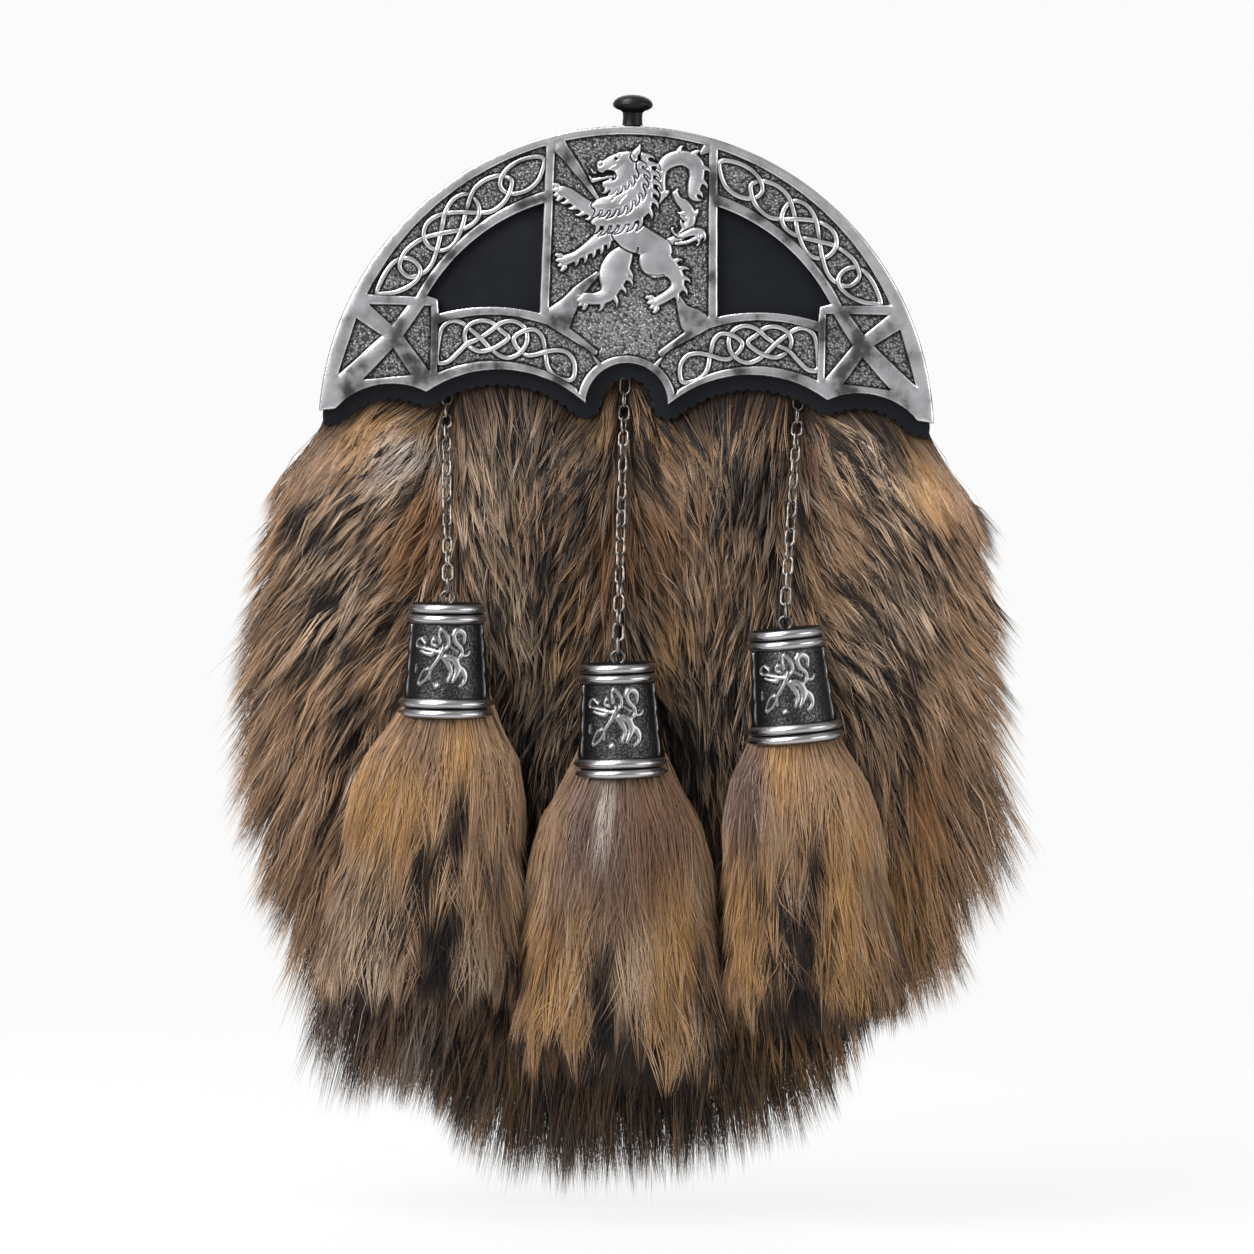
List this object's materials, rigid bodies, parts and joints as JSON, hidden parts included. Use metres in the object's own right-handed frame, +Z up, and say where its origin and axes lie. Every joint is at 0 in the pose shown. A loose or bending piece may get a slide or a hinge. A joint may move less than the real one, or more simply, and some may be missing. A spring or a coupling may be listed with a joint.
{
  "type": "sporran pouch",
  "caption": "Hanging fur-faced leather pouch with a pierced and cast half-disc metal top, chains, tassel cones and fur tassels.",
  "frame": {"origin": "midway between the two strap loops on the back, on the line of the slots that the waist strap runs through", "axes": "+Z up as worn, the front faces -Y, +X to the viewer's right"},
  "size_m": [0.2045, 0.0734, 0.2946],
  "materials": {
    "cantle_metal": "antique pewter, satin on the high places and dark in the recesses",
    "cone_metal": "antique pewter with bright rings",
    "chain_metal": "darkened",
    "leather": "black grain leather",
    "stud_finish": "black lacquer",
    "pelt_fur": "long banded fur, dark brown, tan and grey",
    "tassel_fur": "long banded fur, tan with dark tips"
  },
  "bodies": {
    "root": {"cantle": "cantle_metal", "backing": "leather", "top_stud": "stud_finish", "front_panel": "leather", "gusset": "leather", "back_panel": "leather", "strap_loop_left": "leather", "strap_loop_right": "leather", "fur_front": "pelt_fur", "chain_rivet_left": "chain_metal", "chain_rivet_center": "chain_metal", "chain_rivet_right": "chain_metal", "chain_left": "chain_metal", "chain_center": "chain_metal", "chain_right": "chain_metal", "cone_left": "cone_metal", "cone_center": "cone_metal", "cone_right": "cone_metal", "tassel_left": "tassel_fur", "tassel_center": "tassel_fur", "tassel_right": "tassel_fur"}
  },
  "joints": []
}
